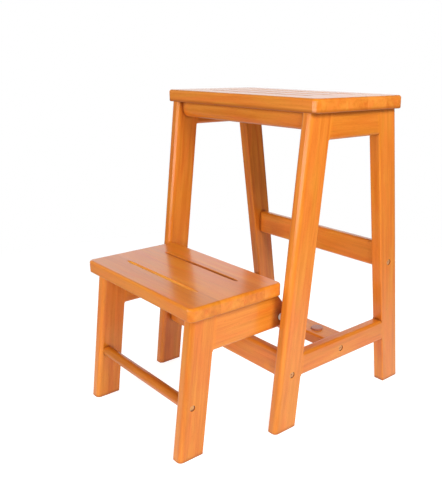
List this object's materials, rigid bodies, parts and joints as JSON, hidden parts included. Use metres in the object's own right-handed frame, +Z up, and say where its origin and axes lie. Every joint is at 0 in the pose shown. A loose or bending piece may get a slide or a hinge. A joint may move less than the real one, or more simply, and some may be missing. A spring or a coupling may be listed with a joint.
{
  "type": "folding step stool",
  "caption": "Folding wooden step stool: a raked frame with a seat board, and a lower step that swings up and over a rod to fold away inside the frame.",
  "frame": {"origin": "on the floor, at the middle of the open stool's bounding box", "axes": "+X to the stool's right, -Y to its front where the step is, +Z up"},
  "size_m": [0.36, 0.4584, 0.5],
  "materials": {
    "stained_wood": "semi-gloss lacquer over honey stain",
    "raw_wood": "bare",
    "steel_rod": "drawn, bright",
    "zinc_steel": "zinc plated",
    "bronzed_steel": "bronze plated",
    "white_nylon": "moulded",
    "brown_pad": "smooth"
  },
  "bodies": {
    "stool_frame": {"seat_board": "stained_wood", "right_front_leg": "stained_wood", "left_front_leg": "stained_wood", "right_rear_leg": "stained_wood", "left_rear_leg": "stained_wood", "right_top_rail": "stained_wood", "left_top_rail": "stained_wood", "right_lower_rail": "stained_wood", "left_lower_rail": "stained_wood", "front_apron": "stained_wood", "rear_apron": "stained_wood", "front_lower_rail": "stained_wood", "rear_middle_rail": "stained_wood", "rest_bar": "stained_wood", "rest_pads": "brown_pad", "pivot_rod": "steel_rod", "rod_spacers": "white_nylon", "frame_bolts": "bronzed_steel", "barrel_nuts": "zinc_steel", "side_rail_dowels": "raw_wood", "apron_dowels": "raw_wood", "cross_rail_dowels": "raw_wood", "seat_screws": "zinc_steel"},
    "step": {"step_board": "stained_wood", "step_right_leg": "stained_wood", "step_left_leg": "stained_wood", "step_right_rail": "stained_wood", "step_left_rail": "stained_wood", "step_rung": "stained_wood", "rung_screws": "bronzed_steel", "step_rail_dowels": "raw_wood", "step_board_screws": "zinc_steel"}
  },
  "joints": [
    {"name": "step_fold", "type": "hinge", "parent": "stool_frame", "child": "step", "pos_m": [0, -0.03552, 0.175], "axis": [-1, 0, 0], "range_deg": [0, 180]}
  ]
}
